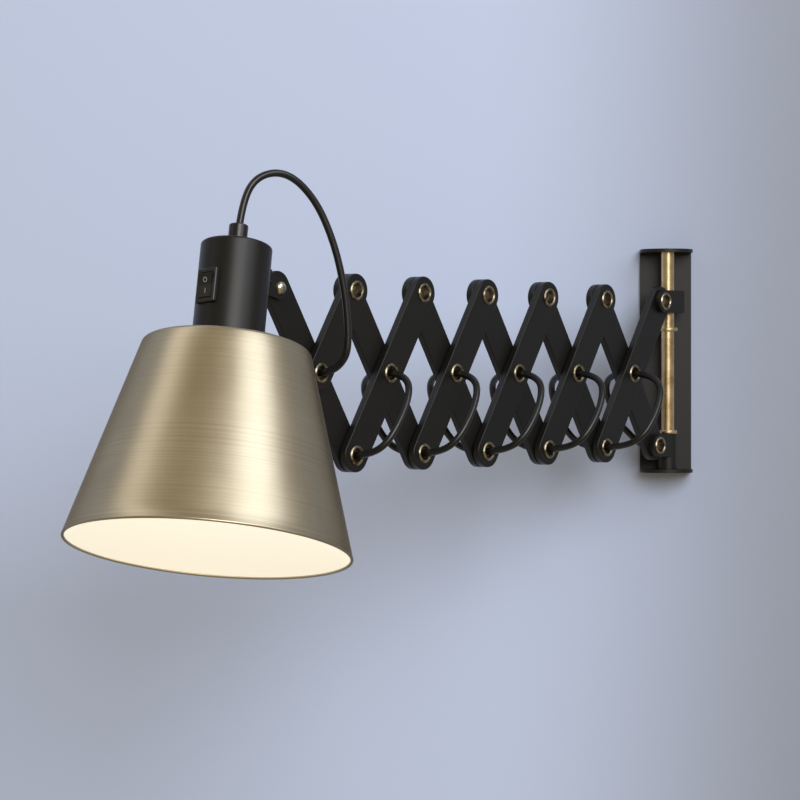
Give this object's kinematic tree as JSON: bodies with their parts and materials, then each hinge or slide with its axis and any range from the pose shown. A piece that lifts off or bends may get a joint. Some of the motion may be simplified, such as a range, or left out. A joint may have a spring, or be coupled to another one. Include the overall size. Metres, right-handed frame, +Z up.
{
  "type": "accordion wall lamp",
  "caption": "wall lamp on a scissor arm of flat black bars and hollow rivets, sliding on a vertical rod, with a tilting black head, rocker switch, cone brass shade and looped cord",
  "frame": {"origin": "centre of the bracket's back face, on the wall", "axes": "+X right, +Y into the wall, +Z up; the arm reaches out along -Y and to the left as drawn"},
  "size_m": [0.4074, 0.4866, 0.2485],
  "materials": {
    "black_pvc_cord": "smooth satin",
    "black_powder_coated_aluminium": "fine matte powder coat",
    "black_powder_coated_steel": "fine matte powder coat",
    "aged_brass_rivet": "aged, worn bright at the rim",
    "washer_nylon": "matte",
    "polished_brass": "polished, slightly aged",
    "brass_screw": "turned",
    "black_rubber": "matte",
    "nickel_plated_steel": "polished, light scratches",
    "black_oxide_screw": "oiled black oxide",
    "black_gloss_plastic": "glossy",
    "zinc_plated_steel": "bright zinc",
    "black_bakelite": "satin",
    "antique_brushed_brass": "fine circumferential brushing, antiqued",
    "opal_bulb_glass": "opal, lit warm",
    "nickel_plated_brass": "bright",
    "black_switch_plastic": "fine moulded texture"
  },
  "bodies": {
    "wall_bracket": {"back_plate": "black_powder_coated_steel", "guide_rod": "polished_brass", "rod_screws": "brass_screw", "rod_collars": "polished_brass", "cord_grommet": "black_rubber", "cord_wall": "black_pvc_cord"},
    "swing_sleeve": {"lower_sleeve": "black_powder_coated_steel", "sleeve_eyelet": "aged_brass_rivet"},
    "slider": {"upper_slider": "black_powder_coated_steel", "slider_eyelet": "aged_brass_rivet"},
    "back_link_1": {"back_bar_1": "black_powder_coated_aluminium", "cord_lead": "black_pvc_cord"},
    "front_link_1": {"front_bar_1": "black_powder_coated_aluminium", "eyelets_1": "aged_brass_rivet", "washers_1": "washer_nylon", "cord_front_1": "black_pvc_cord"},
    "back_link_2": {"back_bar_2": "black_powder_coated_aluminium", "cord_back_2": "black_pvc_cord"},
    "front_link_2": {"front_bar_2": "black_powder_coated_aluminium", "eyelets_2": "aged_brass_rivet", "washers_2": "washer_nylon", "cord_front_2": "black_pvc_cord"},
    "back_link_3": {"back_bar_3": "black_powder_coated_aluminium", "cord_back_3": "black_pvc_cord"},
    "front_link_3": {"front_bar_3": "black_powder_coated_aluminium", "eyelets_3": "aged_brass_rivet", "washers_3": "washer_nylon", "cord_front_3": "black_pvc_cord"},
    "back_link_4": {"back_bar_4": "black_powder_coated_aluminium", "cord_back_4": "black_pvc_cord"},
    "front_link_4": {"front_bar_4": "black_powder_coated_aluminium", "eyelets_4": "aged_brass_rivet", "washers_4": "washer_nylon", "cord_front_4": "black_pvc_cord"},
    "back_link_5": {"back_bar_5": "black_powder_coated_aluminium", "cord_back_5": "black_pvc_cord"},
    "front_link_5": {"front_bar_5": "black_powder_coated_aluminium", "eyelets_5": "aged_brass_rivet", "washers_5": "washer_nylon", "cord_front_5": "black_pvc_cord"},
    "back_link_6": {"back_bar_6": "black_powder_coated_aluminium", "cord_back_6": "black_pvc_cord", "cord_arc_arm": "black_pvc_cord"},
    "front_link_6": {"front_half_bar": "black_powder_coated_aluminium", "eyelets_6": "aged_brass_rivet", "washers_6": "washer_nylon"},
    "head_ear": {"ear_bracket": "black_powder_coated_steel", "pivot_rivet": "nickel_plated_steel"},
    "lamp_head": {"ear_screw": "black_oxide_screw", "housing": "black_powder_coated_aluminium", "strain_relief": "black_gloss_plastic", "carrier_tube": "zinc_plated_steel", "lampholder": "black_bakelite", "shade": "antique_brushed_brass", "shade_ring": "black_bakelite", "bulb_glass": "opal_bulb_glass", "bulb_base": "nickel_plated_brass", "switch_body": "black_switch_plastic", "cord_arc_head": "black_pvc_cord"},
    "rocker": {"switch_rocker": "black_switch_plastic"}
  },
  "joints": [
    {"name": "arm_swing", "type": "hinge", "parent": "wall_bracket", "child": "swing_sleeve", "pos_m": [0, -0.017, 0], "axis": [0, 0, 1], "range_deg": [-34.5, 115.5], "deforming": ["cord_wall"]},
    {"name": "arm_extend", "type": "hinge", "parent": "swing_sleeve", "child": "back_link_1", "pos_m": [-0.01004, -0.03183, -0.0605], "axis": [0.7604, -0.6494, 0], "range_deg": [-21, 7.6], "deforming": ["cord_lead"]},
    {"name": "scissor_1", "type": "hinge", "parent": "back_link_1", "child": "front_link_1", "pos_m": [-0.03138, -0.05682, -0.00911], "axis": [0.7604, -0.6494, 0], "range_deg": [-15.8, 42.6]},
    {"name": "slider_turn", "type": "hinge", "parent": "front_link_1", "child": "slider", "pos_m": [-0.01004, -0.03183, 0.04228], "axis": [0.7604, -0.6494, 0], "range_deg": [-21.6, 8.2]},
    {"name": "lower_pin_2", "type": "hinge", "parent": "front_link_1", "child": "back_link_2", "pos_m": [-0.05273, -0.08182, -0.0605], "axis": [0.7604, -0.6494, 0], "range_deg": [-42.6, 15.8]},
    {"name": "scissor_2", "type": "hinge", "parent": "back_link_2", "child": "front_link_2", "pos_m": [-0.07407, -0.10681, -0.00911], "axis": [0.7604, -0.6494, 0], "range_deg": [-15.8, 42.6]},
    {"name": "lower_pin_3", "type": "hinge", "parent": "front_link_2", "child": "back_link_3", "pos_m": [-0.09542, -0.1318, -0.0605], "axis": [0.7604, -0.6494, 0], "range_deg": [-42.6, 15.8]},
    {"name": "scissor_3", "type": "hinge", "parent": "back_link_3", "child": "front_link_3", "pos_m": [-0.11676, -0.15679, -0.00911], "axis": [0.7604, -0.6494, 0], "range_deg": [-15.8, 42.6]},
    {"name": "lower_pin_4", "type": "hinge", "parent": "front_link_3", "child": "back_link_4", "pos_m": [-0.1381, -0.18178, -0.0605], "axis": [0.7604, -0.6494, 0], "range_deg": [-42.6, 15.8]},
    {"name": "scissor_4", "type": "hinge", "parent": "back_link_4", "child": "front_link_4", "pos_m": [-0.15945, -0.20677, -0.00911], "axis": [0.7604, -0.6494, 0], "range_deg": [-15.8, 42.6]},
    {"name": "lower_pin_5", "type": "hinge", "parent": "front_link_4", "child": "back_link_5", "pos_m": [-0.18079, -0.23176, -0.0605], "axis": [0.7604, -0.6494, 0], "range_deg": [-42.6, 15.8]},
    {"name": "scissor_5", "type": "hinge", "parent": "back_link_5", "child": "front_link_5", "pos_m": [-0.20214, -0.25675, -0.00911], "axis": [0.7604, -0.6494, 0], "range_deg": [-15.8, 42.6]},
    {"name": "lower_pin_6", "type": "hinge", "parent": "front_link_5", "child": "back_link_6", "pos_m": [-0.22348, -0.28174, -0.0605], "axis": [0.7604, -0.6494, 0], "range_deg": [-42.6, 15.8]},
    {"name": "scissor_6", "type": "hinge", "parent": "back_link_6", "child": "front_link_6", "pos_m": [-0.24482, -0.30673, -0.00911], "axis": [0.7604, -0.6494, 0], "range_deg": [-15.8, 42.6]},
    {"name": "head_tilt", "type": "hinge", "parent": "back_link_6", "child": "head_ear", "pos_m": [-0.26617, -0.33172, 0.04228], "axis": [-0.7604, 0.6494, 0], "range_deg": [-14, 75], "deforming": ["cord_arc_arm"]},
    {"name": "head_turn", "type": "hinge", "parent": "head_ear", "child": "lamp_head", "pos_m": [-0.27393, -0.34836, 0.04534], "axis": [-0.6293, -0.7368, 0.247], "range_deg": [-46.2, 33.8], "deforming": ["cord_arc_head"]},
    {"name": "switch_rock", "type": "hinge", "parent": "lamp_head", "child": "rocker", "pos_m": [-0.30551, -0.38038, 0.04222], "axis": [0.7733, -0.6254, 0.1047], "range_deg": [-14, 0]}
  ],
  "couplings": [
    {"joint": "scissor_1", "follows": "arm_extend", "ratio": -2},
    {"joint": "slider_turn", "follows": "arm_extend", "ratio": 1},
    {"joint": "lower_pin_2", "follows": "arm_extend", "ratio": 2},
    {"joint": "scissor_2", "follows": "arm_extend", "ratio": -2},
    {"joint": "lower_pin_3", "follows": "arm_extend", "ratio": 2},
    {"joint": "scissor_3", "follows": "arm_extend", "ratio": -2},
    {"joint": "lower_pin_4", "follows": "arm_extend", "ratio": 2},
    {"joint": "scissor_4", "follows": "arm_extend", "ratio": -2},
    {"joint": "lower_pin_5", "follows": "arm_extend", "ratio": 2},
    {"joint": "scissor_5", "follows": "arm_extend", "ratio": -2},
    {"joint": "lower_pin_6", "follows": "arm_extend", "ratio": 2},
    {"joint": "scissor_6", "follows": "arm_extend", "ratio": -2}
  ]
}
